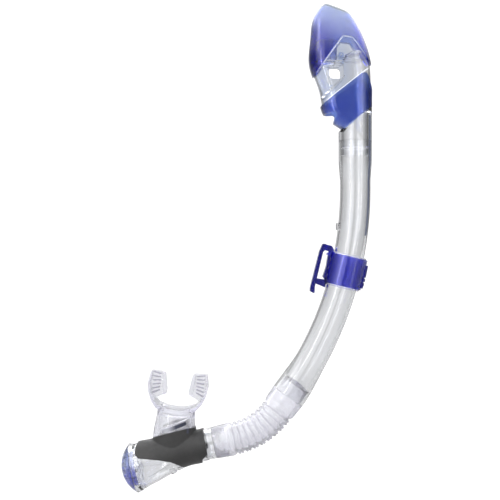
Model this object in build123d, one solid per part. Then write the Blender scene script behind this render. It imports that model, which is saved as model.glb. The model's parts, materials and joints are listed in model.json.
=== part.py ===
from build123d import *
import os
from functools import lru_cache
from math import cos, radians, sin, tan

# Dry-top snorkel with a flexible drop-away mouth end.  All sizes are millimetres.
# Frame: +Z runs up the barrel, the object is a mirror image of itself about Y = 0,
# and the origin is the middle of the mask-strap slot in the keeper.

# ---------------------------------------------------------------- barrel
KEEPER_TILT = 13.5        # lean of the barrel axis where the keeper sits, degrees
SLOT_OFFSET = 22.0        # strap slot centre to barrel axis
BEND_RADIUS = 322.0       # centre line radius of the curved half of the barrel
BARREL_R = 14.0           # outside radius of the plain barrel
BORE_R = 12.0             # breathing bore radius
BELL_START = 28.5         # where the lower end starts to swell, degrees round the bend
BARREL_END = 36.0         # where the barrel stops, degrees round the bend
BELL_R = 16.1             # outside radius at the very end of the bell
BELL_SOCKET_R = 13.6      # socket for the hose spigot
BELL_SOCKET_DEPTH = 14.0
JOINT_Z = 114.5           # joint line between the barrel and the dry-top neck
COLLAR_R = 15.3           # outside radius of the thick collar at that joint
SOCKET_R = 12.6           # socket for the neck spigot
SPIGOT_R = 12.5
SPIGOT_BORE_R = 10.8
SPIGOT_LENGTH = 13.5
NUB_Z = 36.0              # moulded stop that keeps the keeper off the straight part

# ---------------------------------------------------------------- dry top
# height, left edge, right edge, half depth, roundness of the plan outline
TOP_OUTLINE = (
    (244.4, -1.5, 17.0, 8.0, 0.80),
    (228.3, -7.6, 27.0, 13.2, 0.80),
    (209.4, -10.9, 36.9, 17.0, 0.82),
    (189.2, -12.5, 43.6, 18.6, 0.84),
    (173.5, -9.0, 45.6, 18.6, 0.86),
    (159.7, -4.2, 45.6, 18.0, 0.88),
    (145.9, -1.8, 45.6, 17.2, 0.90),
    (133.0, 6.0, 45.6, 16.2, 0.94),
    (117.0, 15.0, 45.6, 15.3, 0.99),
)
SHELL = 1.6               # thickness of the tinted cap and skirt
SHELL_GAP = 0.05          # glue-line gap between tinted shells and the clear housing
HOUSING_WALL = 1.7
HOUSING_DROP = 2.5        # housing wall below the top of the cap's crown
CROWN = ((-30.0, 225.3), (2.5, 238.8), (23.2, 230.6), (28.2, 225.9), (60.0, 190.0))
CAP_EDGE = ((-14.0, 165.4), (17.4, 208.9), (26.6, 207.5), (50.0, 177.2))
SKIRT_EDGE = (
    (-6.0, 142.6), (34.7, 174.2), (38.6, 175.1), (41.2, 172.1), (48.0, 153.4),
    (48.0, 147.6), (13.3, 121.8), (9.7, 128.4), (12.6, 138.1), (10.8, 139.9),
    (-6.0, 137.3),
)
DUCT_X = 28.0             # air duct axis inside the housing
DUCT_R = 9.5
DUCT_BORE_R = 7.5
DUCT_TOP = 188.0
SEAT_HEIGHT = 1.2
WINDOW_CENTRE = (11.4, 176.5)
WINDOW_SIZE = (13.0, 15.0)
PIVOT = (16.9, 193.0)     # flap hinge pin
PIN_R = 0.9
FLAP_OPEN = 18.0          # how far the flap stands open at rest, degrees
DISC_R = 8.8
DISC_THICKNESS = 1.4
ARM = 12.0                # pivot to the ball that sits in the float
FLOAT_X = (-5.8, 13.0)
FLOAT_Z = (186.6, 206.0)
FLOAT_DEPTH = 23.0
LEDGE_Z = (184.6, 186.3)   # ledge the float rests on

# ---------------------------------------------------------------- keeper
RING_LENGTH = 28.0
RING_R = 17.4
RING_BORE_R = 15.6
LINER_R = 15.3
LINER_BORE_R = 14.3
LINER_LIP_R = 15.9
LINER_LIP = 1.2
SLOT_WIDTH = 5.0          # strap thickness direction
SLOT_LENGTH = 25.0        # strap width direction
BAR_THICKNESS = 3.8
BAR_DEPTH = 11.0
GATE_PIVOT = (-19.2, 16.9)
GATE_PIN_R = 1.2
KNUCKLE_R = 2.8

# ---------------------------------------------------------------- hose
HOSE_COLLAR = 17.5        # length of the plain upper cuff
HOSE_RADIUS = 65.2        # centre line radius of the ribbed part
HOSE_END_ANGLE = 78.0     # heading of the lower cuff, degrees from straight down
HOSE_CUFF = 19.3          # length of the plain lower cuff
HOSE_BORE_R = 11.6
RIBS = 8
CREST_R = 15.0
VALLEY_R = 13.0

# ---------------------------------------------------------------- mouth end
COLLAR_SPIGOT_R = 12.4    # swivel collar inside the hose cuff
COLLAR_BORE_R = 10.6
NECK_RUNNING_R = 12.6     # swivel collar inside the chamber neck
NECK_BORE_R = 12.9
NECK_R = 14.0
NECK_GAP = 3.5            # from the hose cuff end to the chamber neck
EXPOSED = 7.0             # from the hose cuff end to the grip cover
CHAMBER_ANGLE = 68.5      # heading of the flared part, degrees from straight down
NECK_LENGTH = 25.0        # from the grip cover edge to the start of the flare
CHAMBER_WALL = 1.8
PANEL_RISE = 0.5          # raised panel on both sides of the flare
RIB_RISE = 1.4            # two short ribs under the flare
VALVE_CENTRE = (-168.4, -185.0)   # middle of the chamber's open end
VALVE_ANGLE = 78.0        # heading of the purge valve, degrees from straight down
CAP_BASE = 5.0            # from the chamber's end to the purge cap
CAP_R = 22.6
DOME_HEIGHT = 10.8
COVER = 1.2               # thickness of the soft cover
MOUTH_LEAN = 5.0          # lean of the mouthpiece, degrees
MOUTH_BASE = (-136.0, -153.1)
PORT_SIZE = (31.0, 20.0)
PORT_WALL = 1.8
SADDLE_SIZE = (39.2, 31.2)
SADDLE_BASE = (-136.0, -153.3)    # low line of the saddle the mouthpiece stands on
SADDLE_ANGLE = 14.0       # rise of that line towards +X, degrees
SLOT_MIDDLE = (0.0, 6.0)  # keyhole slot in the mouthpiece sleeve
SLOT_RISE = 25.0
KEY_SLOT = (23.5, 3.2)
LADDER_FAN = (-24.0, 10.0)        # lean of the lowest and the highest bite recess
DIAPHRAGM_R = 14.0


def on_bend(centre, radius, angle):
    """Point on a bend whose first point lies straight out along +X."""
    turn = radians(angle)
    return Vector(centre[0] + radius * cos(turn), 0, centre[1] - radius * sin(turn))


def heading(angle):
    """Direction of travel, measured from straight down towards -X."""
    turn = radians(angle)
    return Vector(-sin(turn), 0, -cos(turn))


def station(point, angle):
    """Section plane across a tube that runs along the given heading."""
    return Plane(origin=point, x_dir=(0, 1, 0), z_dir=heading(angle))


def leaning(point, angle):
    """Upright working plane leaned over towards +X."""
    turn = radians(angle)
    return Plane(
        origin=(point[0], 0, point[1]),
        x_dir=(cos(turn), 0, -sin(turn)),
        z_dir=(sin(turn), 0, cos(turn)),
    )


def side_prism(points, half_width, corner=0.0, corners=None):
    """Outline drawn in the XZ plane, pushed equally both ways along Y."""
    outline = Polygon(*points, align=None)
    if corner > 0:
        chosen = outline.vertices()
        if corners is not None:
            chosen = [v for v in chosen if any(abs(v.X - x) < 0.01 for x in corners)]
        outline = fillet(chosen, corner)
    return extrude(Plane.XZ * outline, amount=half_width, both=True)


def block(x, y, z):
    """Box from three (low, high) pairs."""
    centre = ((x[0] + x[1]) / 2, (y[0] + y[1]) / 2, (z[0] + z[1]) / 2)
    return Pos(*centre) * Box(x[1] - x[0], y[1] - y[0], z[1] - z[0])


def upright(x, radius, z_low, z_high):
    """Vertical round bar."""
    return Pos(x, 0, (z_low + z_high) / 2) * Cylinder(radius, z_high - z_low)


def tube_loft(stations, ruled=False):
    """Solid through round sections given as (point, heading, radius)."""
    return loft([station(p, a) * Circle(r) for p, a, r in stations], ruled=ruled)


def round_bar(point, angle, radius, start, end):
    """Straight round bar along a heading, from start to end past a point."""
    base = point + heading(angle) * start
    return extrude(station(base, angle) * Circle(radius), amount=end - start)


def y_bar(x, z, radius, low, high):
    """Round bar along Y."""
    return Pos(x, (low + high) / 2, z) * Rot(90, 0, 0) * Cylinder(radius, high - low)


TILT = radians(KEEPER_TILT)
BEND_CENTRE = (
    (SLOT_OFFSET - BEND_RADIUS) * cos(TILT),
    -(SLOT_OFFSET - BEND_RADIUS) * sin(TILT),
)
BARREL_X = BEND_CENTRE[0] + BEND_RADIUS
BEND_START_Z = BEND_CENTRE[1]
BEND_AXIS = Axis((BEND_CENTRE[0], 0, BEND_CENTRE[1]), (0, 1, 0))
KEEPER_CENTRE = on_bend(BEND_CENTRE, BEND_RADIUS, KEEPER_TILT)
KEEPER = leaning((KEEPER_CENTRE.X, KEEPER_CENTRE.Z), KEEPER_TILT)
BARREL_TIP = on_bend(BEND_CENTRE, BEND_RADIUS, BARREL_END)
COLLAR_END = BARREL_TIP + heading(BARREL_END) * HOSE_COLLAR
HOSE_CENTRE = (
    COLLAR_END.X - HOSE_RADIUS * cos(radians(BARREL_END)),
    COLLAR_END.Z + HOSE_RADIUS * sin(radians(BARREL_END)),
)
RIBS_END = on_bend(HOSE_CENTRE, HOSE_RADIUS, HOSE_END_ANGLE)
HOSE_TIP = RIBS_END + heading(HOSE_END_ANGLE) * HOSE_CUFF
COVER_START = HOSE_TIP + heading(HOSE_END_ANGLE) * EXPOSED
FLARE_START = COVER_START + heading(HOSE_END_ANGLE) * NECK_LENGTH
VALVE = station(Vector(VALVE_CENTRE[0], 0, VALVE_CENTRE[1]), VALVE_ANGLE)
MOUTH = leaning(MOUTH_BASE, MOUTH_LEAN)
CHAMBER_STATIONS = (
    (COVER_START, HOSE_END_ANGLE, 14.2),
    (COVER_START + heading(HOSE_END_ANGLE) * 12, HOSE_END_ANGLE, 14.4),
    (FLARE_START, (HOSE_END_ANGLE + CHAMBER_ANGLE) / 2, 15.3),
    (FLARE_START + heading(CHAMBER_ANGLE) * 15, CHAMBER_ANGLE, 17.2),
    (FLARE_START + heading(CHAMBER_ANGLE) * 28, CHAMBER_ANGLE + 2, 19.2),
    (VALVE.origin, VALVE_ANGLE, 21.2),
)


# ================================================================ barrel
def bend_tube(radius, start, end):
    section = Plane(origin=on_bend(BEND_CENTRE, BEND_RADIUS, 0)) * Circle(radius)
    tube = revolve(section, axis=BEND_AXIS, revolution_arc=end - start)
    return tube.rotate(BEND_AXIS, start)


def make_barrel():
    collar = Polygon(
        (0, BEND_START_Z), (BARREL_R, BEND_START_Z), (BARREL_R, 79.0), (COLLAR_R, 96.0),
        (COLLAR_R, JOINT_Z), (0, JOINT_Z), align=None,
    )
    upper = revolve(Plane.XZ * collar, axis=Axis.Z)
    outer = Pos(BARREL_X, 0, 0) * upper + bend_tube(BARREL_R, 0, BELL_START)
    swell = (
        (BELL_START, BARREL_R), (30.5, 14.4), (32.5, 15.2), (34.4, 15.9), (BARREL_END, BELL_R),
    )
    outer += tube_loft(
        [(on_bend(BEND_CENTRE, BEND_RADIUS, a), a, r) for a, r in swell]
    )
    bore = upright(BARREL_X, BORE_R, BEND_START_Z, JOINT_Z) + bend_tube(BORE_R, 0, BARREL_END)
    bore += upright(BARREL_X, SOCKET_R, JOINT_Z - SPIGOT_LENGTH - 0.3, JOINT_Z)
    bore += round_bar(BARREL_TIP, BARREL_END, BELL_SOCKET_R, -BELL_SOCKET_DEPTH, 0)
    nub = block((12.6, 18.0), (-3.0, 3.0), (NUB_Z - 3.2, NUB_Z + 3.2))
    nub = fillet(nub.edges().group_by(Axis.X)[0], 0.8)
    return outer + nub - bore


# ================================================================ dry top
@lru_cache(maxsize=None)
def top_solid(inset):
    """Outline of the dry top, drawn in by an even inset."""
    sections = []
    for z, left, right, half_depth, roundness in TOP_OUTLINE:
        width = right - left - 2 * inset
        depth = 2 * (half_depth - inset)
        corner = roundness * half_depth - inset
        plane = Plane(origin=((left + right) / 2, 0, z))
        sections.append(plane * RectangleRounded(width, depth, corner))
    return loft(sections)


def shell_solid():
    return top_solid(0) - top_solid(SHELL)


def crown_prism(drop):
    points = [(x, z - drop) for x, z in CROWN] + [(60.0, 100.0), (-30.0, 100.0)]
    return side_prism(points, 30, corner=2.5, corners=(2.5, 23.2, 28.2))


def make_top_cap():
    outer = top_solid(0) & crown_prism(0)
    inner = top_solid(SHELL) & crown_prism(SHELL + 0.3)
    below = list(CAP_EDGE) + [(50.0, 90.0), (-14.0, 90.0)]
    return outer - inner - side_prism(below, 30, corner=3.5, corners=(17.4, 26.6))


def make_splash_skirt():
    edge = side_prism(SKIRT_EDGE, 30, corner=1.2, corners=(34.7, 38.6, 41.2, 10.8, 12.6))
    return shell_solid() & edge


def duct_solid(neck_r, duct_r, z_low, z_high):
    """Air path from the round neck to the offset duct."""
    sections = (
        (BARREL_X, neck_r, z_low), (BARREL_X, neck_r, 140.0),
        (DUCT_X, duct_r, 170.0), (DUCT_X, duct_r, z_high),
    )
    return loft([Plane(origin=(x, 0, z)) * Circle(r) for x, r, z in sections], ruled=True)


def make_valve_housing():
    inset = SHELL + SHELL_GAP
    chamber = top_solid(inset)
    hollow = top_solid(inset + HOUSING_WALL)
    drain = side_prism(
        ((-30, 141.0), (12.0, 141.0), (16.8, 126.0), (16.8, 100.0), (-30, 100.0)), 30,
    )
    shell = chamber - hollow - drain
    floor = side_prism(
        ((-12.0, 139.9), (-12.0, 142.4), (19.0, 173.4), (19.0, 170.9)), 30,
    )
    ledge = block((-30, 17.0), (-30, 30), (LEDGE_Z[0], LEDGE_Z[1]))
    ledge -= block((-3.4, 10.6), (-9.5, 9.5), (180, 190))
    shell += (floor + ledge) & top_solid(inset + 0.5)
    shell &= crown_prism(HOUSING_DROP)
    shell -= block((-40, 60), (-30, 30), (100, JOINT_Z + 4))
    shell += duct_solid(COLLAR_R - SHELL - 0.2, DUCT_R, JOINT_Z, DUCT_TOP)
    collar = upright(BARREL_X, COLLAR_R, JOINT_Z, 150.0)
    above = ((-10, 104.2), (13.3, 121.6), (48.0, 147.3), (60, 156.2), (60, 200), (-10, 200))
    shell += collar - side_prism(above, 30)
    shell += upright(BARREL_X, SPIGOT_R, JOINT_Z - SPIGOT_LENGTH, JOINT_Z)
    for side in (-1, 1):
        low, high = sorted((side * 3.5, side * 5.5))
        ear = block((14.5, 19.2), (low, high), (LEDGE_Z[0], PIVOT[1] + 2.0))
        shell += ear - y_bar(PIVOT[0], PIVOT[1], PIN_R, -9, 9)
    shell -= duct_solid(SPIGOT_BORE_R, DUCT_BORE_R, JOINT_Z - SPIGOT_LENGTH, DUCT_TOP)
    groove = upright(BARREL_X, SPIGOT_R + 1, 107.0, 109.0)
    shell -= groove - upright(BARREL_X, 11.5, 107.0, 109.0)
    window = Pos(WINDOW_CENTRE[0], 0, WINDOW_CENTRE[1]) * Rot(90, 0, 0)
    window *= extrude(RectangleRounded(*WINDOW_SIZE, 3.9), amount=30, both=True)
    return shell - window


def make_neck_seal():
    return Pos(BARREL_X, 0, 108.0) * Torus(12.05, 0.5)


def make_valve_seat():
    ring = Cylinder(DUCT_R, SEAT_HEIGHT) - Cylinder(DUCT_BORE_R, SEAT_HEIGHT)
    return Pos(DUCT_X, 0, DUCT_TOP + SEAT_HEIGHT / 2) * ring


def make_flap_pin():
    return y_bar(PIVOT[0], PIVOT[1], PIN_R, -5.8, 5.8)


def opened(part):
    """Turn a flap piece from its closed position to its open rest position."""
    return part.rotate(Axis((PIVOT[0], 0, PIVOT[1]), (0, 1, 0)), -FLAP_OPEN)


def make_flap_lever():
    low = DUCT_TOP + SEAT_HEIGHT + 0.05 + DISC_THICKNESS
    plate = upright(DUCT_X, 7.4, low, low + 1.5)
    plate += block((PIVOT[0], DUCT_X), (-2.6, 2.6), (low, low + 1.5))
    plate += upright(DUCT_X, 2.0, low, low + 2.8)
    plate += y_bar(PIVOT[0], PIVOT[1], 2.3, -3.2, 3.2)
    tail = block((PIVOT[0] - ARM, PIVOT[0]), (-1.8, 1.8), (PIVOT[1] - 0.8, PIVOT[1] + 0.8))
    tail += y_bar(PIVOT[0] - ARM, PIVOT[1], 1.4, -1.8, 1.8)
    pivot_line = Axis((PIVOT[0], 0, PIVOT[1]), (0, 1, 0))
    plate += tail.rotate(pivot_line, FLAP_OPEN / 2)
    plate -= y_bar(PIVOT[0], PIVOT[1], PIN_R + 0.05, -9, 9)
    return opened(plate)


def make_flap_disc():
    low = DUCT_TOP + SEAT_HEIGHT + 0.05
    return opened(upright(DUCT_X, DISC_R, low, low + DISC_THICKNESS))


def make_float():
    width = FLOAT_X[1] - FLOAT_X[0]
    body = Pos(sum(FLOAT_X) / 2, 0, FLOAT_Z[0])
    body *= extrude(RectangleRounded(width, FLOAT_DEPTH, 9.0), amount=FLOAT_Z[1] - FLOAT_Z[0])
    body = chamfer(body.edges().group_by(Axis.Z)[-1], 1.0)
    tip_z = PIVOT[1] - ARM * sin(radians(FLAP_OPEN / 2))
    body -= block((2.8, 9.0), (-2.6, 2.6), (tip_z - 1.75, tip_z + 1.75))
    return body - block((8.0, 14.0), (-2.6, 2.6), (tip_z - 2.6, tip_z + 3.4))


# ================================================================ keeper
def in_keeper(part):
    return KEEPER.location * part


def make_keeper_liner():
    half = RING_LENGTH / 2 + 0.3
    body = Cylinder(LINER_R, 2 * half)
    for side in (-1, 1):
        body += Pos(0, 0, side * (half + LINER_LIP / 2)) * Cylinder(LINER_LIP_R, LINER_LIP)
    body = in_keeper(body)
    body -= bend_tube(LINER_BORE_R, KEEPER_TILT - 5, KEEPER_TILT + 5)
    return body - in_keeper(block((-1.0, 1.0), (10, 20), (-20, 20)))


def make_keeper_ring():
    half = RING_LENGTH / 2
    inner = SLOT_WIDTH / 2
    body = Cylinder(RING_R, RING_LENGTH)
    for z in (-9.5, -5.0, 5.0, 9.5):
        body -= Pos(0, 0, z) * (Cylinder(RING_R + 1, 0.8) - Cylinder(RING_R - 0.4, 0.8))
    pad = side_prism(
        ((12, 9.5), (18.4, 9.5), (18.8, -1.2), (17.3, -2.2), (18.8, -3.2), (18.8, -5.2),
         (17.3, -6.2), (18.8, -7.2), (18.2, -12.0), (12, -12.0)), 6.0,
    )
    plate_left = -SLOT_OFFSET + inner
    plate = side_prism(
        ((plate_left, 10.2), (-8, 12.6), (-8, -12.2), (plate_left + 2.6, -11.9),
         (plate_left, -9.6), (plate_left + 0.9, 0.4)), BAR_DEPTH / 2,
    )
    arm_left = -SLOT_OFFSET - inner + 0.2
    arm = side_prism(
        ((arm_left, -SLOT_LENGTH / 2), (-10, -11.2), (-10, -19.0), (-16.7, -18.6),
         (arm_left, -17.4)), BAR_DEPTH / 2,
    )
    body += pad + plate + arm
    for side in (-1, 1):
        low, high = sorted((side * 3.4, side * (BAR_DEPTH / 2)))
        ear = side_prism(((-20.9, 11.0), (-12, 9.0), (-8, 9.0), (-12.4, 13.9), (-16.6, 18.0)), 9)
        ear += y_bar(GATE_PIVOT[0], GATE_PIVOT[1], KNUCKLE_R, -9, 9)
        body += ear & block((-30, 0), (low, high), (0, 30))
    body -= Cylinder(RING_BORE_R, 3 * half)
    for side in (-1, 1):
        body -= Pos(0, 0, side * (half + 5)) * Cylinder(LINER_LIP_R + 0.3, 10)
    body -= y_bar(GATE_PIVOT[0], GATE_PIVOT[1], GATE_PIN_R, -4.4, 4.4)
    return in_keeper(body)


def make_gate_pin():
    return in_keeper(y_bar(GATE_PIVOT[0], GATE_PIVOT[1], GATE_PIN_R, -4.3, 4.3))


def make_strap_gate():
    right = -SLOT_OFFSET - SLOT_WIDTH / 2
    left = right - BAR_THICKNESS
    bar = side_prism(
        ((left + 0.4, 12.0), (left, -22.0), (left + 0.6, -25.4), (right + 0.8, -26.4),
         (right + 0.9, -24.6), (right, -20.5), (right, 12.5), (-23.6, 13.6),
         (-23.6, 20.2), (left + 1.8, 19.6)), BAR_DEPTH / 2,
    )
    bridge = block((-24.5, GATE_PIVOT[0]), (-3.1, 3.1), (14.3, 19.7))
    knuckle = y_bar(GATE_PIVOT[0], GATE_PIVOT[1], KNUCKLE_R, -3.1, 3.1)
    gate = bar + bridge + knuckle
    return in_keeper(gate - y_bar(GATE_PIVOT[0], GATE_PIVOT[1], GATE_PIN_R + 0.05, -9, 9))


# ================================================================ hose and swivel
def make_flex_hose():
    down = heading(BARREL_END)
    profile = [
        (BARREL_TIP + down * 0.05, BARREL_END, 16.0), (BARREL_TIP + down * 12, BARREL_END, 15.6),
        (BARREL_TIP + down * 16, BARREL_END, 14.9),
    ]
    step = (HOSE_END_ANGLE - BARREL_END) / (2 * RIBS)
    for index in range(2 * RIBS + 1):
        angle = BARREL_END + index * step
        radius = CREST_R if index % 2 else VALLEY_R
        profile.append((on_bend(HOSE_CENTRE, HOSE_RADIUS, angle), angle, radius))
    away = heading(HOSE_END_ANGLE)
    profile.append((RIBS_END + away * 2.0, HOSE_END_ANGLE, 15.2))
    profile.append((HOSE_TIP, HOSE_END_ANGLE, 14.4))
    hose = tube_loft(profile, ruled=True)
    hose += round_bar(BARREL_TIP, BARREL_END, BELL_SOCKET_R - 0.05, -13.0, 1.0)
    bore = round_bar(BARREL_TIP, BARREL_END, HOSE_BORE_R, -14.0, HOSE_COLLAR)
    section = station(COLLAR_END, BARREL_END) * Circle(HOSE_BORE_R)
    turn = Axis((HOSE_CENTRE[0], 0, HOSE_CENTRE[1]), (0, 1, 0))
    bore += revolve(section, axis=turn, revolution_arc=HOSE_END_ANGLE - BARREL_END)
    bore += round_bar(RIBS_END, HOSE_END_ANGLE, HOSE_BORE_R, 0, HOSE_CUFF + 1)
    bore += round_bar(RIBS_END, HOSE_END_ANGLE, COLLAR_SPIGOT_R + 0.05, 5.0, HOSE_CUFF + 1)
    return hose - bore


def make_swivel_collar():
    angle = HOSE_END_ANGLE
    body = round_bar(HOSE_TIP, angle, COLLAR_SPIGOT_R, -14.0, 0.05)
    body += round_bar(HOSE_TIP, angle, 14.3, 0.05, NECK_GAP - 0.3)
    body += round_bar(HOSE_TIP, angle, NECK_RUNNING_R, NECK_GAP - 0.3, 15.0)
    body -= round_bar(HOSE_TIP, angle, 15.0, 8.0, 10.0) - round_bar(
        HOSE_TIP, angle, 11.7, 8.0, 10.0
    )
    return body - round_bar(HOSE_TIP, angle, COLLAR_BORE_R, -15, 20)


def make_swivel_seal():
    centre = HOSE_TIP + heading(HOSE_END_ANGLE) * 9.0
    return station(centre, HOSE_END_ANGLE).location * Torus(12.2, 0.45)


# ================================================================ mouth end
@lru_cache(maxsize=None)
def chamber_solid(grow):
    return tube_loft([(p, a, r + grow) for p, a, r in CHAMBER_STATIONS])


def oval(width, depth, z_low, z_high, taper=0.0):
    """Upright oval bar in the mouthpiece's own frame, narrower at the top by taper."""
    low = Plane(origin=(0, 0, z_low)) * Ellipse(width / 2, depth / 2)
    high = Plane(origin=(0, 0, z_high)) * Ellipse(width / 2 - taper, depth / 2 - taper)
    return MOUTH.location * loft([low, high])


def saddle(lift):
    """Everything below the two sloped faces the mouthpiece stands on, raised by lift."""
    turn = radians(SADDLE_ANGLE)
    section = Plane(
        origin=(SADDLE_BASE[0], 0, SADDLE_BASE[1]),
        x_dir=(0, 1, 0),
        z_dir=(cos(turn), 0, sin(turn)),
    )
    shape = Polygon((-24, -40), (24, -40), (24, 4.5 + lift), (0, lift), (-24, 4.5 + lift), align=None)
    return extrude(section * shape, amount=40, both=True)


def slot_bar(length, height):
    """Round-ended bar along Y that lies along the keyhole slot."""
    shape = extrude(RectangleRounded(length, height, height / 2 - 0.05), amount=30, both=True)
    place = Pos(SLOT_MIDDLE[0], 0, SLOT_MIDDLE[1]) * Rot(0, -SLOT_RISE, 0) * Rot(90, 0, 0)
    return MOUTH.location * (place * shape)


def tongue_zone(grow):
    """Front and back strips of the port where the cover's tongues rise."""
    half = KEY_SLOT[0] / 2 + 0.5 + grow
    tops = [SLOT_MIDDLE[1] + 3.0 + grow + side * half * tan(radians(SLOT_RISE)) for side in (-1, 1)]
    outline = ((-half, -12), (half, -12), (half, tops[1]), (-half, tops[0]))
    return MOUTH.location * side_prism(outline, 30)


def make_purge_chamber():
    body = chamber_solid(0)
    panel = side_prism(
        ((-167.9, -180.6), (-145.4, -178.8), (-140.0, -186.0), (-160.4, -199.0)), 30, corner=1.5,
    )
    body += chamber_solid(PANEL_RISE) & panel
    for start in (3.0, 9.5):
        rib = Pos(0, 0, start + 2.0) * Cylinder(40, 4.0)
        rib = station(FLARE_START, CHAMBER_ANGLE).location * rib
        rib &= side_prism(((-160, -187.2), (-110, -180.4), (-110, -210), (-160, -210)), 30)
        body += chamber_solid(RIB_RISE) & rib
    body += round_bar(HOSE_TIP, HOSE_END_ANGLE, NECK_R, NECK_GAP, EXPOSED + 1)
    port = oval(*PORT_SIZE, -10, 15.5)
    body += port - oval(PORT_SIZE[0] + 2, PORT_SIZE[1] + 2, -20, -9)
    inner = chamber_solid(-CHAMBER_WALL)
    inner += VALVE.location * Cylinder(18.4, 6.0)
    hole = oval(PORT_SIZE[0] - 2 * PORT_WALL, PORT_SIZE[1] - 2 * PORT_WALL, -14, 20)
    body -= inner
    body -= round_bar(HOSE_TIP, HOSE_END_ANGLE, NECK_BORE_R, NECK_GAP - 1, 17.0)
    return body - hole


def make_grip_cover():
    wrap = chamber_solid(COVER)
    outline = side_prism(
        ((-168.8, -161.0), (-151.0, -155.2), (-108.0, -140.0), (-100.0, -150.0),
         (-103.8, -169.4), (-109.6, -176.4), (-110.4, -190.0), (-124.0, -187.0),
         (-129.5, -182.1), (-137.8, -177.5), (-149.3, -175.2), (-167.2, -173.4),
         (-171.0, -170.3), (-170.6, -164.0)), 30, corner=1.5,
        corners=(-137.8, -171.0, -170.6, -168.8),
    )
    cover = wrap & outline
    cover += oval(*SADDLE_SIZE, -14.0, 14.0) & saddle(0)
    cover += oval(PORT_SIZE[0] + 2.6, PORT_SIZE[1] + 2.6, -9.0, 16.0) & tongue_zone(0)
    cover -= oval(PORT_SIZE[0] + 0.1, PORT_SIZE[1] + 0.1, -16, 20)
    return cover - chamber_solid(SHELL_GAP)


def wing_outline(side):
    points = (
        (25.6, 55.6), (14.8, 55.6), (12.6, 54.0), (11.2, 45.0), (9.8, 39.0), (10.4, 35.0),
        (16.3, 32.4), (20.0, 30.0), (24.0, 32.0), (27.0, 40.0), (27.6, 46.0),
    )
    return side_prism([(side * x, z) for x, z in points], 1.6)


def flange_wall():
    """Gum shield: a U-shaped wall seen edge-on from the front."""
    outer = (
        (26.0, 55.0), (27.8, 44.0), (26.4, 36.5), (23.2, 29.0), (18.0, 22.6), (9.5, 19.6),
    )
    inner = (
        (24.2, 55.0), (25.8, 44.0), (24.4, 37.4), (21.4, 30.6), (16.6, 25.6), (8.6, 22.9),
    )
    left = [(-x, z) for x, z in reversed(outer)]
    path = list(outer) + [(0.0, 18.9)] + left
    back = [(-x, z) for x, z in inner] + [(0.0, 22.2)] + list(reversed(inner))
    wall = side_prism(path + back, 15.0)
    lens = extrude(
        Plane.YZ * Polygon(
            (-13.5, 17.0), (13.5, 17.0), (13.8, 27.0), (11.5, 36.0), (7.5, 46.0), (5.0, 57.0),
            (-5.0, 57.0), (-7.5, 46.0), (-11.5, 36.0), (-13.8, 27.0), align=None,
        ),
        amount=40, both=True,
    )
    return wall & lens


def make_mouthpiece():
    shield = flange_wall()
    for side in (-1, 1):
        wing = wing_outline(side)
        for row in range(6):
            lean = LADDER_FAN[0] + (LADDER_FAN[1] - LADDER_FAN[0]) * row / 5
            recess = Rot(0, -side * lean, 0) * Box(7.6, 1.5, 1.9)
            for face in (-1, 1):
                wing -= Pos(side * 20.0, face * 1.65, 36.4 + 3.4 * row) * recess
        lug = side_prism(
            [(side * x, z) for x, z in ((15.0, 54.6), (12.4, 53.6), (11.0, 45.0), (9.9, 39.0),
                                        (10.5, 35.2), (13.4, 34.2), (14.2, 44.0))], 4.6,
        )
        shield += wing + lug
    shield = MOUTH.location * shield
    neck = loft([
        MOUTH.location * (Plane(origin=(0, 0, z)) * Ellipse(a, b))
        for z, a, b in ((-10, 18.6, 14.4), (3, 19.0, 14.2), (12, 17.9, 13.2), (21, 17.4, 12.4))
    ])
    body = neck + shield
    body -= oval(PORT_SIZE[0] + 2.8, PORT_SIZE[1] + 2.8, -20, 16.2) & tongue_zone(0.2)
    body -= oval(PORT_SIZE[0] + 0.1, PORT_SIZE[1] + 0.1, -20, 15.6)
    body -= oval(26.0, 15.0, 15.0, 34.0)
    body -= slot_bar(*KEY_SLOT)
    return body - saddle(0.1)


def purge_ring(radius, low, high):
    return Pos(0, 0, (low + high) / 2) * Cylinder(radius, high - low)


def make_cap_ring():
    body = loft([
        Plane(origin=(0, 0, 0.05)) * Circle(21.3),
        Plane(origin=(0, 0, CAP_BASE)) * Circle(CAP_R),
    ])
    body += purge_ring(18.35, -1.2, 1.0)
    return VALVE.location * (body - purge_ring(17.0, -3, 20))


def dome(radius, height):
    """Spherical cap standing on the flat Z = 0."""
    ball = (radius * radius + height * height) / (2 * height)
    return (Pos(0, 0, height - ball) * Sphere(ball)) & purge_ring(radius + 1, 0, height + 1)


def make_purge_cap():
    body = dome(CAP_R - 0.1, DOME_HEIGHT) - dome(CAP_R - 2.2, DOME_HEIGHT - 1.8)
    body += purge_ring(16.95, -3.0, 3.4) - purge_ring(15.4, -4.0, 4.0)
    for count, radius, size in ((12, 14.2, 2.0), (8, 8.6, 1.7), (1, 0.0, 1.8)):
        for index in range(count):
            turn = 360.0 / count * (index + 0.5)
            body -= Rot(0, 0, turn) * Pos(radius, 0, 6) * Cylinder(size, 16)
    return VALVE.location * (Pos(0, 0, CAP_BASE + 0.05) * body)


def make_purge_seat():
    disc = purge_ring(16.9, -0.2, 1.8) - purge_ring(12.4, -1, 3)
    for index in range(3):
        disc += Pos(0, 0, 0.8) * Rot(0, 0, 60 * index) * Box(26.0, 2.2, 2.0)
    disc += purge_ring(3.6, -0.2, 1.8)
    disc -= purge_ring(1.6, -1, 3)
    return VALVE.location * disc


def make_purge_diaphragm():
    disc = purge_ring(DIAPHRAGM_R, 1.85, 3.0)
    disc += purge_ring(1.3, -2.6, 2.0)
    disc += purge_ring(2.1, -3.6, -2.4)
    return VALVE.location * disc


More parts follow.
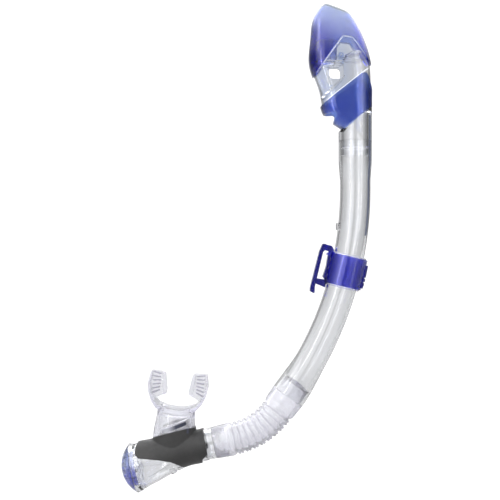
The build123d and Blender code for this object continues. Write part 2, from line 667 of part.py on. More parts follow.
PARTS = {
    "barrel": make_barrel,
    "valve_housing": make_valve_housing,
    "top_cap": make_top_cap,
    "splash_skirt": make_splash_skirt,
    "neck_seal": make_neck_seal,
    "valve_seat": make_valve_seat,
    "flap_pin": make_flap_pin,
    "flap_lever": make_flap_lever,
    "flap_disc": make_flap_disc,
    "float": make_float,
    "keeper_liner": make_keeper_liner,
    "keeper_ring": make_keeper_ring,
    "gate_pin": make_gate_pin,
    "strap_gate": make_strap_gate,
    "flex_hose": make_flex_hose,
    "swivel_collar": make_swivel_collar,
    "swivel_seal": make_swivel_seal,
    "purge_chamber": make_purge_chamber,
    "grip_cover": make_grip_cover,
    "mouthpiece": make_mouthpiece,
    "cap_ring": make_cap_ring,
    "purge_cap": make_purge_cap,
    "purge_seat": make_purge_seat,
    "purge_diaphragm": make_purge_diaphragm,
}

os.makedirs("parts", exist_ok=True)
for name, make in PARTS.items():
    export_step(make(), f"parts/{name}.step")
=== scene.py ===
import json
import math

import bmesh
import bpy
from mathutils import Matrix, Vector


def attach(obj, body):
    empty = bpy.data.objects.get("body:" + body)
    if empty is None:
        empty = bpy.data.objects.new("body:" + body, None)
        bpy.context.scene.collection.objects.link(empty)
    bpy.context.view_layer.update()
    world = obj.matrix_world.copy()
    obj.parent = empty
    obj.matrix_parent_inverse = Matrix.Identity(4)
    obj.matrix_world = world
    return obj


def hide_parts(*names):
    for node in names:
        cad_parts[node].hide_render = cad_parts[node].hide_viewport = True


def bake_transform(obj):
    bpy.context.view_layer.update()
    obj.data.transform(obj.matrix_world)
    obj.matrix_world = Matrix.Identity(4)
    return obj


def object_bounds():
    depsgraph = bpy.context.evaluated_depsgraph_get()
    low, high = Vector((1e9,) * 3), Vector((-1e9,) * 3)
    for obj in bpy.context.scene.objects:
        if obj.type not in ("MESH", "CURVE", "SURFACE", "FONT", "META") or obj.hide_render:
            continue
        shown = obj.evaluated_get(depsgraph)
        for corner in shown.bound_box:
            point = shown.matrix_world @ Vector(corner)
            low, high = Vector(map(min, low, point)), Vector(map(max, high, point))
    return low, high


# Dry-top snorkel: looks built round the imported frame.  Metres, row frame: +Z up, the object
# is a mirror image of itself about Y = 0, and the front view looks along +Y.

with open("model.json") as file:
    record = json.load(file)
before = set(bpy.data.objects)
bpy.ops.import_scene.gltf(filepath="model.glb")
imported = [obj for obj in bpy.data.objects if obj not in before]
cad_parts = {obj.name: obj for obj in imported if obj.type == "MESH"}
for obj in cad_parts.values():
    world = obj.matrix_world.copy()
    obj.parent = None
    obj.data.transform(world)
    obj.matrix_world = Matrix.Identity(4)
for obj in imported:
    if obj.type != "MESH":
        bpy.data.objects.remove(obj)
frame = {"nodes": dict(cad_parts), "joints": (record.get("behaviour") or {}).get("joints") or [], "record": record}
CAD_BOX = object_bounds()
MM = 0.001
BARREL_BEND = 0.322         # centre line radius of the barrel's curved half
JOINTS = {joint["name"]: joint for joint in frame["joints"]}


# ================================================================ material helpers
class Tree:
    """Short way to build any node tree."""

    def __init__(self, tree):
        self.tree = tree
        self.tree.nodes.clear()

    def add(self, kind, **settings):
        node = self.tree.nodes.new(kind)
        for key, value in settings.items():
            setattr(node, key, value)
        return node

    def link(self, source, target):
        self.tree.links.new(source, target)

    def split(self, vector):
        """The x, y and z of a vector signal."""
        axes = self.add("ShaderNodeSeparateXYZ")
        self.link(vector, axes.inputs[0])
        return axes.outputs

    def math(self, operation, first, second=None):
        """One maths step on two signals or plain numbers."""
        node = self.add("ShaderNodeMath", operation=operation)
        for socket, value in zip(node.inputs, (first, second)):
            if isinstance(value, (int, float)):
                socket.default_value = value
            elif value is not None:
                self.link(value, socket)
        return node.outputs[0]

    def spread(self, source, low, high, start=0.3, end=0.7):
        """Maps a signal, taken between start and end, onto a range of plain numbers."""
        node = self.add("ShaderNodeMapRange")
        limits = (("From Min", start), ("From Max", end), ("To Min", low), ("To Max", high))
        for key, value in limits:
            node.inputs[key].default_value = value
        self.link(source, node.inputs["Value"])
        return node.outputs[0]

    def ramp(self, source, *stops):
        """A colour read off a list of (position, colour) or (position, grey level)."""
        node = self.add("ShaderNodeValToRGB")
        elements = node.color_ramp.elements
        while len(elements) < len(stops):
            elements.new(1.0)
        for element, (position, colour) in zip(elements, stops):
            element.position = position
            element.color = (*(colour if isinstance(colour, tuple) else (colour,) * 3), 1.0)
        self.link(source, node.inputs["Fac"])
        return node.outputs["Color"]

    def band(self, source, low, high, soft):
        """1 between two plain numbers, fading to 0 over a soft edge."""
        rise = self.spread(source, 0.0, 1.0, low, low + soft)
        fall = self.spread(source, 1.0, 0.0, high - soft, high)
        return self.math("MULTIPLY", rise, fall)

    def blend(self, share, first, colour):
        """From one colour signal to a plain colour by a share."""
        node = self.add("ShaderNodeMix", data_type="RGBA")
        self.link(share, node.inputs[0])
        self.link(first, node.inputs[6])
        node.inputs[7].default_value = (*colour, 1.0)
        return node.outputs[2]


class Nodes(Tree):
    """A node material with one Principled shader, patterned by place on the object."""

    def __init__(self, name):
        self.material = bpy.data.materials.new(name)
        self.material.use_nodes = True
        super().__init__(self.material.node_tree)
        self.output = self.add("ShaderNodeOutputMaterial")
        self.shader = self.add("ShaderNodeBsdfPrincipled")
        self.link(self.shader.outputs[0], self.output.inputs["Surface"])
        self.place = self.add("ShaderNodeTexCoord").outputs["Object"]

    def set(self, **values):
        """Plain values of the shader, one for all the surface."""
        for key, value in values.items():
            self.shader.inputs[key.replace("_", " ")].default_value = value

    def drive(self, socket, signal):
        """One input of the shader that varies over the surface."""
        self.link(signal, self.shader.inputs[socket])

    def noise(self, scale, detail=3.0, rough=0.5, stretch=None):
        node = self.add("ShaderNodeTexNoise")
        node.inputs["Scale"].default_value = scale
        node.inputs["Detail"].default_value = detail
        node.inputs["Roughness"].default_value = rough
        source = self.place
        if stretch is not None:
            mapping = self.add("ShaderNodeMapping")
            mapping.inputs["Scale"].default_value = stretch
            self.link(source, mapping.inputs["Vector"])
            source = mapping.outputs[0]
        self.link(source, node.inputs["Vector"])
        return node.outputs["Fac"]

    def bump(self, source, strength, distance):
        node = self.add("ShaderNodeBump")
        node.inputs["Strength"].default_value = strength
        node.inputs["Distance"].default_value = distance
        self.link(source, node.inputs["Height"])
        self.drive("Normal", node.outputs[0])

    def absorb(self, colour, density):
        """Tint that deepens with the thickness light passes through."""
        node = self.add("ShaderNodeVolumeAbsorption")
        node.inputs["Color"].default_value = (*colour, 1.0)
        node.inputs["Density"].default_value = density
        self.link(node.outputs[0], self.output.inputs["Volume"])


# ================================================================ materials
# Where colours begin and end, in metres.  The three outlines, CAP_EDGE, CAP_BACK and SKIRT_TOP,
# are (x, z) points in millimetres.
STRIPE_TURN = (0.80, 1.10)          # radians round the barrel, from its front to its right
STRIPE_HEIGHT = (0.026, 0.139)
STRIPE_SKIN = (0.0136, 0.0158)      # the barrel's outer skin, without the neck inside it
DRY_TOP = (0.128, 0.30)
DRY_TOP_FRONT = (0.018, 0.034)      # x over which the painted blue cast dies away
CAP_EDGE = ((-14.0, 165.4), (17.4, 208.9), (26.6, 207.5), (50.0, 177.2))
CAP_RIM = (-1.3 * MM, 0.3 * MM)     # painted highlight line, from just under the cap's V to just over it
CAP_BACK = ((27.0, 228.3), (43.6, 189.2))
SKIRT_TOP = ((-6.0, 142.6), (34.7, 174.2))
SKIRT_RIM = (-0.3 * MM, 1.1 * MM)
RIM_SOFT = 0.3 * MM
RIM_DEPTH = (0.0105, 0.0115)        # the housing's walls lie further from Y = 0 than its duct
RIM_START = (0.140, 0.142)
CAP_LEFT = (-0.004, 0.015)          # x over which the painted shade on the cap's left side fades
CAP_LEFT_TOP = (0.200, 0.226)
CAP_BACK_DEPTH = (-5.5 * MM, -1.0 * MM)     # how far inside its right outline the painted shade deepens
CAP_BACK_TOP = (0.205, 0.228)
CAP_FOOT = (0.150, 0.172)           # the painted shade stays off the cap's lowest edges
# heights over which a painted highlight pales the crown's colour, and then makes it milkier
CROWN_PAINTED_HIGHLIGHT = (0.195, 0.236)
CROWN_PAINTED_MILKINESS = (0.200, 0.238)
DOME_PAINTED_FADE = (-0.199, -0.180)        # the purge dome is painted dark blue below and pale above: painted shade below, a painted highlight above
TONGUE_PAINTED_FADE = (-0.142, -0.134)      # x where the tongues go from painted pale to dark


def barrel_stripe(n):
    """Mask of the plain slate stripe printed down the front right of the barrel."""
    centre = JOINTS["keeper_slide"]["pos_m"]
    x, y, z = n.split(n.place)
    across = n.math("SUBTRACT", x, centre[0])
    below = n.math("MINIMUM", n.math("SUBTRACT", z, centre[2]), 0.0)
    reach = n.math("SQRT", n.math("ADD", n.math("MULTIPLY", across, across),
                                  n.math("MULTIPLY", below, below)))
    outward = n.math("SUBTRACT", reach, BARREL_BEND)
    radius = n.math("SQRT", n.math("ADD", n.math("MULTIPLY", outward, outward),
                                   n.math("MULTIPLY", y, y)))
    azimuth = n.math("ARCTAN2", outward, n.math("MULTIPLY", y, -1.0))
    mask = n.math("MULTIPLY", n.band(azimuth, *STRIPE_TURN, 0.03),
                  n.band(z, *STRIPE_HEIGHT, 2.0 * MM))
    return n.math("MULTIPLY", mask, n.band(radius, *STRIPE_SKIN, 0.2 * MM))


def dry_top_painted_cast(n):
    """1 in the front half of the dry top, where a painted blue cast stands in for the blue of its cap and skirt
    seen in it.
    """
    x, _, z = n.split(n.place)
    return n.math("MULTIPLY", n.band(z, *DRY_TOP, 12.0 * MM),
                  n.spread(x, 1.0, 0.1, *DRY_TOP_FRONT))


def above_line(n, x, z, start, end):
    """Distance above the line through two (x, z) points given in millimetres."""
    run = Vector(end) - Vector(start)
    side = Vector((-run.y, run.x)).normalized()
    across = n.math("ADD", n.math("MULTIPLY", x, side.x), n.math("MULTIPLY", z, side.y))
    return n.math("SUBTRACT", across, side.dot(Vector(start)) * MM)


def rim_painted_highlight(n):
    """1 on the painted highlight lines of the clear housing that follow the cap's V and the skirt's top."""
    x, y, z = n.split(n.place)
    left, top, right = (above_line(n, x, z, *ends) for ends in zip(CAP_EDGE, CAP_EDGE[1:]))
    cap = n.math("MAXIMUM", n.math("MAXIMUM", left, top), right)
    skirt = above_line(n, x, z, *SKIRT_TOP)
    lines = n.math("MAXIMUM", n.band(cap, *CAP_RIM, RIM_SOFT), n.band(skirt, *SKIRT_RIM, RIM_SOFT))
    outer = n.spread(n.math("ABSOLUTE", y), 0.0, 1.0, *RIM_DEPTH)
    high = n.spread(z, 0.0, 1.0, *RIM_START)
    return n.math("MULTIPLY", n.math("MULTIPLY", lines, outer), high)


def clear_plastic():
    """Polished clear polycarbonate with moulding waviness and faint handling haze."""
    n = Nodes("clear_plastic")
    n.set(IOR=1.5)
    stripe = barrel_stripe(n)
    haze = n.noise(90.0, 4.0, 0.6)
    rough = n.math("ADD", n.spread(haze, 0.012, 0.06), n.math("MULTIPLY", stripe, 0.3))
    n.drive("Roughness", rough)
    tint = n.ramp(n.noise(35.0), (0.3, (0.965, 0.97, 0.985)), (0.7, (0.99, 0.99, 0.995)))
    # Painted blue cast: the blue of the cap and skirt as seen in the dry top's front half.
    tint = n.blend(dry_top_painted_cast(n), tint, (0.86, 0.90, 1.0))
    # Painted highlight lines along the cap's V and the skirt's top: paler and less clear.
    painted_rim = rim_painted_highlight(n)
    tint = n.blend(painted_rim, tint, (0.90, 0.93, 1.0))
    n.drive("Base Color", n.blend(stripe, tint, (0.085, 0.10, 0.15)))
    # The print and the painted highlight lines let less light through.
    solid = n.math("ADD", n.math("MULTIPLY", stripe, 0.75), n.math("MULTIPLY", painted_rim, 0.6))
    n.drive("Transmission Weight", n.math("SUBTRACT", 1.0, solid))
    n.bump(n.noise(70.0, 2.0), 0.06, 0.0006)
    n.absorb((0.55, 0.60, 0.66), 9.0)
    return n.material


def tinted_plastic(name, colour, density, fade=None):
    """Translucent blue polycarbonate, frosted: a painted highlight makes the crown paler and milkier, and painted
    shade makes the cap's sides navy.

    With a fade, painted shade makes it dark blue below the first height, and a painted highlight leaves it pale
    above the second, instead.
    """
    n = Nodes(name)
    n.set(IOR=1.5, Specular_IOR_Level=0.3, Coat_Weight=0.3, Coat_Roughness=0.04)
    tint = n.ramp(n.noise(45.0), (0.3, (0.90, 0.91, 0.98)), (0.7, (0.95, 0.95, 0.99)))
    x, _, z = n.split(n.place)
    if fade:
        # On the dome: painted shade low down and a painted highlight on top.
        painted_shade = n.spread(z, 0.8, 0.0, *fade)
    else:
        # On the cap: painted shade down its left side and inside its right outline.
        left = n.math("MULTIPLY", n.spread(x, 1.0, 0.0, *CAP_LEFT),
                      n.spread(z, 1.0, 0.15, *CAP_LEFT_TOP))
        behind = above_line(n, x, z, *CAP_BACK)
        right = n.math("MULTIPLY", n.spread(behind, 0.0, 0.9, *CAP_BACK_DEPTH),
                       n.spread(z, 1.0, 0.0, *CAP_BACK_TOP))
        painted_shade = n.math("MULTIPLY", n.math("MAXIMUM", left, right),
                      n.spread(z, 0.0, 1.0, *CAP_FOOT))
    # Painted highlight: the crown paler.
    tint = n.blend(n.spread(z, 0.0, 1.0, *CROWN_PAINTED_HIGHLIGHT), tint, (0.78, 0.92, 1.0))
    # Painted shade turns the colour navy where its mask lies.
    n.drive("Base Color", n.blend(painted_shade, tint, (0.02, 0.025, 0.74)))
    # The painted highlight also makes the crown milkier and less clear.
    n.drive("Transmission Weight", n.spread(z, 1.0, 0.78, *CROWN_PAINTED_MILKINESS))
    n.drive("Roughness", n.spread(n.noise(120.0, 4.0, 0.6), 0.16, 0.24))
    n.bump(n.noise(60.0, 2.0), 0.05, 0.0006)
    n.absorb(colour, density)
    return n.material


def clear_silicone():
    """Soft clear silicone: milky, faintly lavender, satin from the mould, with painted shade greying the bottoms
    of recesses.
    """
    n = Nodes("clear_silicone")
    n.set(Transmission_Weight=0.86, IOR=1.41)
    tint = n.ramp(n.noise(60.0), (0.3, (0.955, 0.955, 0.985)), (0.7, (0.99, 0.99, 1.0)))
    painted_recess_shade = n.add("ShaderNodeAttribute", attribute_name="painted_recess_shade").outputs["Fac"]
    # Painted shade: the marked bottoms of grooves and recesses turn grey.
    n.drive("Base Color", n.blend(painted_recess_shade, tint, (0.50, 0.49, 0.56)))
    n.drive("Roughness", n.spread(n.noise(160.0, 4.0, 0.6), 0.09, 0.18))
    n.bump(n.noise(250.0, 2.0), 0.03, 0.0003)
    n.absorb((0.60, 0.58, 0.80), 26.0)
    return n.material


def soft_charcoal():
    """Matte soft-touch elastomer with a fine spark-eroded grain."""
    n = Nodes("soft_charcoal")
    n.set(IOR=1.5, Specular_IOR_Level=0.35, Sheen_Weight=0.12, Sheen_Roughness=0.5)
    patch = n.ramp(n.noise(70.0, 4.0), (0.3, (0.012, 0.012, 0.012)), (0.7, (0.021, 0.020, 0.020)))
    n.drive("Base Color", patch)
    n.drive("Roughness", n.spread(n.noise(300.0, 4.0, 0.65), 0.48, 0.68))
    n.bump(n.noise(2600.0, 2.0), 0.25, 0.0002)
    return n.material


def tongue_painted_pale():
    """The cover's thin tongues: dark at the high end, painted pale grey at the other, standing in for light the
    clear silicone over them scatters.
    """
    n = Nodes("tongue_painted_pale")
    n.set(IOR=1.5, Specular_IOR_Level=0.35)
    # Painted light: pale grey on charcoal, for light through the silicone over it.
    pale = n.ramp(n.noise(70.0, 4.0), (0.3, (0.40, 0.40, 0.44)), (0.7, (0.46, 0.46, 0.50)))
    dark = n.spread(n.split(n.place)[0], 0.0, 1.0, *TONGUE_PAINTED_FADE)
    n.drive("Base Color", n.blend(dark, pale, (0.030, 0.034, 0.055)))
    n.drive("Roughness", n.spread(n.noise(300.0, 4.0, 0.65), 0.48, 0.68))
    n.bump(n.noise(2600.0, 2.0), 0.25, 0.0002)
    return n.material


def float_foam():
    """Frosted hollow moulding."""
    n = Nodes("float_foam")
    n.set(IOR=1.25, Transmission_Weight=0.85)
    tint = n.ramp(n.noise(400.0, 4.0), (0.3, (0.90, 0.91, 0.94)), (0.7, (0.95, 0.96, 0.98)))
    n.drive("Base Color", tint)
    n.drive("Roughness", n.spread(n.noise(500.0), 0.45, 0.65))
    n.bump(n.noise(1500.0, 3.0), 0.2, 0.0002)
    return n.material


def steel_pin():
    """Drawn steel wire with fine marks along it."""
    n = Nodes("steel_pin")
    n.set(Metallic=1.0)
    drawn = n.noise(900.0, 3.0, 0.5, stretch=(1.0, 0.02, 1.0))
    n.drive("Base Color", n.ramp(drawn, (0.3, (0.50, 0.51, 0.53)), (0.7, (0.66, 0.67, 0.69))))
    n.drive("Roughness", n.spread(drawn, 0.22, 0.38))
    n.bump(drawn, 0.15, 0.0001)
    return n.material


def seal_black():
    """Matte black rubber."""
    n = Nodes("seal_black")
    n.set(IOR=1.5, Specular_IOR_Level=0.4)
    patch = n.ramp(n.noise(500.0, 3.0), (0.3, (0.016, 0.016, 0.017)), (0.7, (0.03, 0.03, 0.03)))
    n.drive("Base Color", patch)
    n.drive("Roughness", n.spread(n.noise(700.0), 0.4, 0.6))
    n.bump(n.noise(1800.0), 0.2, 0.0001)
    return n.material


MATERIALS = {
    "clear_plastic": clear_plastic(),
    "tinted_plastic": tinted_plastic("tinted_plastic", (0.05, 0.30, 0.82), 950.0),
    "clear_silicone": clear_silicone(),
    "soft_charcoal": soft_charcoal(),
    "float_foam": float_foam(),
    "steel_pin": steel_pin(),
    "seal_black": seal_black(),
}


def paint(obj, slot):
    """Gives an object the procedural material of a record slot."""
    obj.data.materials.clear()
    obj.data.materials.append(MATERIALS[slot])


SLOT_OF = {part["node"]: part["material_slot"] for part in frame["record"]["subparts"]}
for name, node in frame["nodes"].items():
    paint(node, SLOT_OF[name])
# The dome's colour carries painted shade below and a painted highlight above.
dome_tint = tinted_plastic("tinted_dome", (0.24, 0.44, 0.94), 130.0, DOME_PAINTED_FADE)
keeper_tint = tinted_plastic("tinted_keeper", (0.05, 0.10, 0.88), 1000.0)
for name, tint in (("purge_cap", dome_tint), ("keeper_ring", keeper_tint),
                   ("strap_gate", keeper_tint), ("gate_pin", keeper_tint)):
    frame["nodes"][name].data.materials[0] = tint


# ================================================================ mesh helpers
def new_piece(name, mesh, slot, body, *stands_for):
    """A finished piece: painted, named and riding on its body."""
    obj = bpy.data.objects.new(name, mesh)
    bpy.context.scene.collection.objects.link(obj)
    paint(obj, slot)
    if stands_for:
        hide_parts(*stands_for)
    if body is not None:
        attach(obj, body)
    for polygon in obj.data.polygons:
        polygon.use_smooth = True
    return obj


def shade_faces(obj, material, chosen):
    """Give a second material to the faces that a test picks."""
    obj.data.materials.append(material)
    for polygon in obj.data.polygons:
        if chosen(polygon):
            polygon.material_index = 1


def paint_recess_shade(obj, depth, chosen):
    """Mark the faces at the bottom of moulded recesses with a level of painted shade, which greys the silicone
    there.
    """
    mark = obj.data.attributes.new("painted_recess_shade", "FLOAT", "FACE")
    for polygon in obj.data.polygons:
        mark.data[polygon.index].value = depth if chosen(polygon) else 0.0


def apply_modifiers(obj):
    """The mesh that an object's modifiers make, as new mesh data."""
    graph = bpy.context.evaluated_depsgraph_get()
    return bpy.data.meshes.new_from_object(obj.evaluated_get(graph))


def softened(node, voxel, rounds):
    """The outer shape of a CAD solid with every corner rounded off, as moulded rubber is."""
    source = bpy.data.objects.new("source", frame["nodes"][node].data.copy())
    bpy.context.scene.collection.objects.link(source)
    remesh = source.modifiers.new("remesh", "REMESH")
    remesh.mode = "VOXEL"
    remesh.voxel_size = voxel
    smooth = source.modifiers.new("smooth", "SMOOTH")
    smooth.iterations = rounds
    smooth.factor = 0.5
    mesh = apply_modifiers(source)
    bpy.data.objects.remove(source)
    return mesh


# ================================================================ hose
HEADING_END = Vector(JOINTS["chamber_twist"]["axis"])     # run of the lower cuff
HOSE_TIP = Vector(JOINTS["chamber_twist"]["pos_m"])
CUFF = 19.3 * MM            # plain lower cuff
BEND_RADIUS = 65.2 * MM     # centre line radius of the ribbed part
BEND_ANGLE = math.radians(42.0)
COLLAR = 17.5 * MM          # plain upper cuff
RIBS = 8
PITCH = BEND_ANGLE * BEND_RADIUS / MM / RIBS    # from rib to rib, in millimetres
AROUND = 96                 # corners of each ring of the mesh
BORE_STEPS = 30             # rings along the bore
BORE_R = 11.6 * MM
LOWER_BORE_R = 12.45 * MM   # bore of the lower cuff, which takes the collar
LOWER_BORE = 14.2 * MM      # and its length
TUCK = 13.0                 # how far the hose reaches into the barrel, in millimetres
GROOVE_R = 13.7 * MM        # what lies deeper than this between the ribs is groove
NOTCH = 0.9 * MM            # depth of the line round the middle of each rib
GROOVE_PAINTED_SHADE, BITE_PAINTED_SHADE = 0.34, 1.0  # how grey the painted shade makes the bottoms of recesses


class HoseLine:
    """Centre line of the hose: straight cuff, round bend, straight cuff."""

    def __init__(self):
        self.down = HEADING_END.normalized()
        self.side = Vector((0, 1, 0))
        self.ribs_end = HOSE_TIP - self.down * CUFF
        self.bend = BEND_RADIUS * BEND_ANGLE
        self.length = COLLAR + self.bend + CUFF

    def at(self, distance):
        """(point, direction of travel) at a distance from the barrel's end."""
        from_ribs_end = distance - COLLAR - self.bend
        if from_ribs_end >= 0:
            return self.ribs_end + self.down * from_ribs_end, self.down
        turn = min(-from_ribs_end, self.bend) / BEND_RADIUS
        inward = self.down.cross(self.side)
        if inward.z < 0:
            inward = -inward
        centre = self.ribs_end + inward * BEND_RADIUS
        spin = Matrix.Rotation(-turn, 3, "Y")
        if (spin @ self.down).z > self.down.z:
            spin = Matrix.Rotation(turn, 3, "Y")
        point = centre + spin @ (self.ribs_end - centre)
        direction = spin @ self.down
        if distance < COLLAR:
            point = point - direction * (COLLAR - distance)
        return point, direction


def hose_profile():
    """(distance, outside radius, share of the notch that only the outer side shows), in mm."""
    rows = [
        (-TUCK, 13.4, 0), (-0.6, 13.5, 0), (0.05, 13.6, 0), (0.1, 15.6, 0), (0.5, 16.0, 0),
        (1.2, 16.05, 0), (9.6, 15.75, 0), (10.2, 15.45, 0), (10.8, 15.7, 0), (12.6, 15.55, 0),
        (13.1, 15.25, 0), (13.7, 15.45, 0), (15.3, 14.95, 0), (16.3, 14.2, 0), (17.2, 13.3, 0),
    ]
    collar = COLLAR / MM
    for rib in range(RIBS):
        start = collar + PITCH * rib
        for share, radius, notch in (
            (0.03, 13.05, 0), (0.12, 13.5, 0), (0.22, 14.7, 0), (0.30, 15.0, 0.05),
            (0.40, 14.95, 0.35), (0.50, 14.75, 1.0), (0.60, 14.95, 0.35), (0.70, 15.0, 0.05),
            (0.78, 14.7, 0), (0.88, 13.5, 0), (0.97, 13.05, 0),
        ):
            rows.append((start + share * PITCH, radius, notch))
    end = collar + PITCH * RIBS
    rows += [
        (end + 0.6, 13.6, 0), (end + 1.5, 14.8, 0), (end + 2.3, 15.15, 0), (end + 6.6, 15.05, 0),
        (end + 7.1, 14.75, 0), (end + 7.7, 15.0, 0), (end + 10.4, 14.9, 0),
        (end + 10.9, 14.6, 0), (end + 11.5, 14.85, 0), (end + 18.5, 14.45, 0),
        (end + 19.15, 14.2, 0), (end + 19.3, 13.8, 0), (end + 19.3, 12.6, 0),
    ]
    return rows


def hose_rows():
    """Every ring of the hose: down the outside, then back up through the bore, in metres."""
    rows = [(distance * MM, radius * MM, notch) for distance, radius, notch in hose_profile()]
    length = HoseLine().length
    step_end = length - LOWER_BORE - 0.4 * MM
    bore = [(length, LOWER_BORE_R), (length - LOWER_BORE, LOWER_BORE_R), (step_end, BORE_R)]
    for step in range(1, BORE_STEPS):
        bore.append((step_end - step * (length - 1.6 * MM) / BORE_STEPS, BORE_R))
    bore.append((-TUCK * MM, BORE_R))
    return rows + [(distance, radius, 0) for distance, radius in bore]


def make_hose():
    line = HoseLine()
    bm = bmesh.new()
    rings = []
    rows = hose_rows()
    for distance, radius, notch in rows:
        point, direction = line.at(distance)
        out = direction.cross(line.side)
        if out.z > 0:
            out = -out
        ring = []
        for index in range(AROUND):
            turn = 2 * math.pi * index / AROUND
            outer_side = 0.5 + 0.5 * math.cos(turn)
            reach = radius - NOTCH * notch * outer_side ** 1.2
            spoke = out * math.cos(turn) + line.side * math.sin(turn)
            ring.append(bm.verts.new(point + spoke * reach))
        rings.append(ring)
    for near, far in zip(rings, rings[1:] + rings[:1]):
        for index in range(AROUND):
            after = (index + 1) % AROUND
            bm.faces.new((near[index], near[after], far[after], far[index]))
    bmesh.ops.recalc_face_normals(bm, faces=bm.faces)
    mesh = bpy.data.meshes.new("hose")
    bm.to_mesh(mesh)
    bm.free()
    hose = new_piece("ribbed_hose", mesh, "clear_silicone", None, "flex_hose")
    ribs = (COLLAR - 0.5 * MM, line.length - CUFF + 0.7 * MM)
    low = [ribs[0] < distance < ribs[1] and BORE_R < radius < GROOVE_R
           for distance, radius, _ in rows]
    grooved = [here and after for here, after in zip(low, low[1:] + low[:1])]
    # Painted shade in the grooves between the ribs.
    paint_recess_shade(hose, GROOVE_PAINTED_SHADE, lambda polygon: grooved[polygon.index // AROUND])
    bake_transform(hose)


# ================================================================ soft pieces
WINGS_FOOT = -0.125         # the bite wings lie above this height
RECESS_DEPTH = 1.45 * MM    # their recesses reach this close to Y = 0
TONGUE_X = (-0.1485, -0.1222)
TONGUE_Y = (6.0 * MM, 12.4 * MM)    # distance from Y = 0, on both sides
TONGUE_FOOT = -0.152


def bite_recess(polygon):
    """The bottoms of the ladder of recesses in the two bite wings."""
    _, y, z = polygon.center
    return z > WINGS_FOOT and abs(polygon.normal.y) > 0.6 and abs(y) < RECESS_DEPTH


def tongue(polygon):
    """The cover's two tongues, inside the foot of the mouthpiece."""
    x, y, z = polygon.center
    inside = TONGUE_X[0] < x < TONGUE_X[1] and TONGUE_Y[0] < abs(y) < TONGUE_Y[1]
    return inside and z > TONGUE_FOOT


make_hose()
mouthpiece = new_piece("silicone_mouthpiece", softened("mouthpiece", 0.38 * MM, 2),
                       "clear_silicone", "mouth_unit", "mouthpiece")
# Painted shade at the bottoms of the bite wings' recesses.
paint_recess_shade(mouthpiece, BITE_PAINTED_SHADE, bite_recess)
cover = new_piece("soft_grip_cover", softened("grip_cover", 0.4 * MM, 3), "soft_charcoal",
                  "mouth_unit", "grip_cover")
# The tongues are painted pale towards one end, standing in for light through the silicone over them.
shade_faces(cover, tongue_painted_pale(), tongue)
new_piece("keeper_sleeve", softened("keeper_liner", 0.35 * MM, 2), "clear_silicone",
          "keeper_liner", "keeper_liner")


# ================================================================ studio
PICTURE_WIDTH = 0.460       # what the picture spans at the object's middle plane
CAMERA_DISTANCE = 0.90
PICTURE_CENTRE = Vector((-0.0665, 0.0, 0.0144))
SENSOR = 36.0


def make_camera():
    data = bpy.data.cameras.new("camera")
    data.sensor_width = SENSOR
    data.lens = SENSOR * CAMERA_DISTANCE / PICTURE_WIDTH
    camera = bpy.data.objects.new("camera", data)
    camera.location = PICTURE_CENTRE - Vector((0, CAMERA_DISTANCE, 0))
    camera.rotation_euler = (math.radians(90), 0, 0)
    bpy.context.scene.collection.objects.link(camera)
    bpy.context.scene.camera = camera


def area_light(name, place, size, power, target=PICTURE_CENTRE):
    data = bpy.data.lights.new(name, "AREA")
    data.shape = "RECTANGLE"
    data.size, data.size_y = size
    data.energy = power
    light = bpy.data.objects.new(name, data)
    light.location = place
    light.rotation_euler = (target - Vector(place)).to_track_quat("-Z", "Y").to_euler()
    light.visible_camera = False
    bpy.context.scene.collection.objects.link(light)


# Brightness of the studio round the object, as (share of a full turn, level).  The turn
# starts behind the object and runs by its left side to the camera at one half.  The other two
# lists run from straight down at 0 to straight up at 1.
STUDIO_ROUND = (
    (0.0, 0.25), (0.04, 0.22), (0.08, 0.13), (0.13, 0.09), (0.27, 0.10), (0.33, 0.60),
    (0.37, 1.0), (0.455, 1.0), (0.48, 0.10), (0.52, 0.10), (0.545, 1.0), (0.63, 0.9),
    (0.67, 0.5), (0.72, 0.06), (0.87, 0.05), (0.92, 0.11), (0.96, 0.21), (1.0, 0.25),
)
STUDIO_HEIGHT = ((0.40, 0.60), (0.72, 0.62), (0.95, 0.75))
ROOF_GLOW = ((0.56, 0.0), (0.64, 0.12), (0.74, 0.62), (0.86, 0.70), (1.0, 0.45))
STUDIO_STRENGTH = 4.4
WHITE_TO_CAMERA = 1.15
FLOOR_DROP = 0.09           # room for the purge end, which hangs lower as the hose straightens


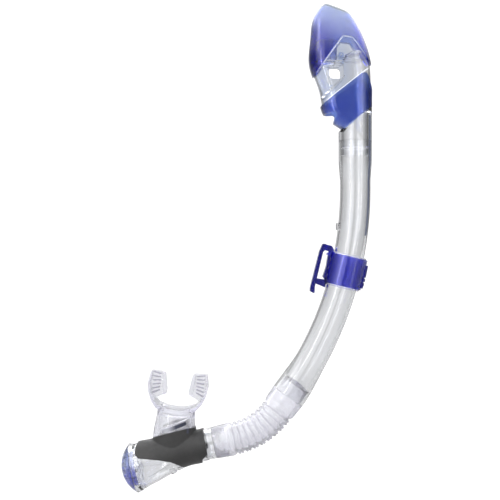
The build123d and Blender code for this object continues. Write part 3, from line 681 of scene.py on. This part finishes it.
def make_world():
    """White to the camera; to the object, two soft boxes in front, grey sides and a lit roof."""
    world = bpy.data.worlds.new("studio")
    bpy.context.scene.world = world
    world.use_nodes = True
    n = Tree(world.node_tree)
    path = n.add("ShaderNodeLightPath").outputs
    x, y, z = n.split(n.add("ShaderNodeTexCoord").outputs["Generated"])
    turn = n.math("ARCTAN2", x, n.math("MULTIPLY", y, -1.0))
    around = n.spread(turn, 0.0, 1.0, -math.pi, math.pi)
    height = n.spread(z, 0.0, 1.0, -1.0, 1.0)
    boxes = n.math("MULTIPLY", n.ramp(around, *STUDIO_ROUND), n.ramp(height, *STUDIO_HEIGHT))
    not_diffuse = n.math("SUBTRACT", 1.0, path["Is Diffuse Ray"])
    roof = n.math("MULTIPLY", n.ramp(height, *ROOF_GLOW), not_diffuse)
    level = n.math("MULTIPLY", n.math("MAXIMUM", boxes, roof), STUDIO_STRENGTH)
    studio, seen = (n.add("ShaderNodeBackground") for _ in range(2))
    studio.inputs["Color"].default_value = (0.985, 0.99, 1.0, 1.0)
    n.link(level, studio.inputs["Strength"])
    seen.inputs["Color"].default_value = (1, 1, 1, 1)
    seen.inputs["Strength"].default_value = WHITE_TO_CAMERA
    mix = n.add("ShaderNodeMixShader")
    for source, socket in zip((path["Is Camera Ray"], studio.outputs[0], seen.outputs[0]),
                              mix.inputs):
        n.link(source, socket)
    n.link(mix.outputs[0], n.add("ShaderNodeOutputWorld").inputs["Surface"])


def make_floor():
    """A wide pale floor under the object, bright enough to read as a white sweep."""
    bm = bmesh.new()
    bmesh.ops.create_circle(bm, cap_ends=True, segments=96, radius=6.0)
    mesh = bpy.data.meshes.new("floor")
    bm.to_mesh(mesh)
    bm.free()
    floor = bpy.data.objects.new("floor", mesh)
    floor.location = (0, 0, CAD_BOX[0].z - FLOOR_DROP)
    bpy.context.scene.collection.objects.link(floor)
    n = Nodes("floor")
    n.set(Roughness=0.9, Specular_IOR_Level=0.1, Base_Color=(0.52, 0.52, 0.52, 1.0))
    path = n.add("ShaderNodeLightPath")
    n.drive("Emission Strength", n.spread(path.outputs["Is Camera Ray"], 0.0, 0.55, 0.0, 1.0))
    n.set(Emission_Color=(1.0, 1.0, 1.0, 1.0))
    mesh.materials.append(n.material)


make_camera()
make_world()
make_floor()
area_light("left_roof", (-0.9, -0.5, 0.75), (0.5, 0.5), 3.0)
area_light("left_strip", (-0.75, -0.95, 0.05), (0.10, 1.1), 3.0)
area_light("right_strip", (0.75, -0.75, 0.1), (0.05, 1.1), 1.2)

scene = bpy.context.scene
scene.view_settings.view_transform = "Standard"
scene.cycles.max_bounces = 24
scene.cycles.transmission_bounces = 24
scene.cycles.transparent_max_bounces = 24
scene.cycles.sample_clamp_indirect = 4.0
